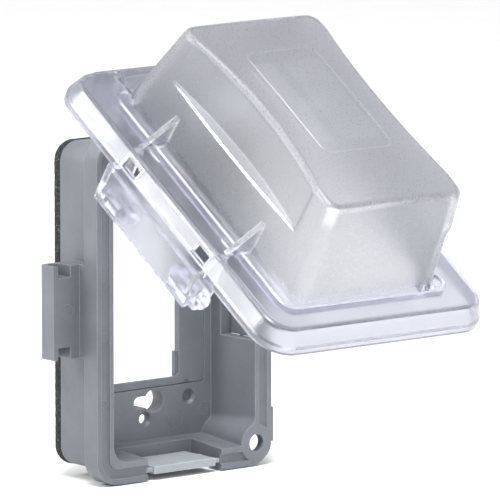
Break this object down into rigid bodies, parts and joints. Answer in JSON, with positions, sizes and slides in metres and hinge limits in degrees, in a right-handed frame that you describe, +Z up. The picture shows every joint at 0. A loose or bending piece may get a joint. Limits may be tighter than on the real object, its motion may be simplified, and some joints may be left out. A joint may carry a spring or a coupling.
{
  "type": "while-in-use receptacle cover",
  "caption": "Weatherproof single-gang receptacle cover with a grey base housing, a foam gasket and a clear domed lid hinged at the top.",
  "frame": {"origin": "centre of the device opening, on the wall plane that the gasket rests on", "axes": "+X to the right as seen from the front, +Y into the wall, +Z up"},
  "size_m": [0.1118, 0.1597, 0.1797],
  "materials": {
    "grey_plastic": "fine satin moulded plastic",
    "black_foam": "closed-cell foam with a speckled cut edge",
    "clear_plastic": "clear polycarbonate, finely frosted on the dome"
  },
  "bodies": {
    "base": {"base_housing": "grey_plastic", "device_insert_plate": "grey_plastic", "foam_gasket": "black_foam", "cord_tab_bottom": "grey_plastic", "cord_tab_side": "grey_plastic"},
    "cover": {"clear_cover": "clear_plastic"}
  },
  "joints": [
    {"name": "cover_hinge", "type": "hinge", "parent": "base", "child": "cover", "pos_m": [0, -0.016, 0.07405], "axis": [-1, 0, 0], "range_deg": [-56.4, 58.6]}
  ]
}
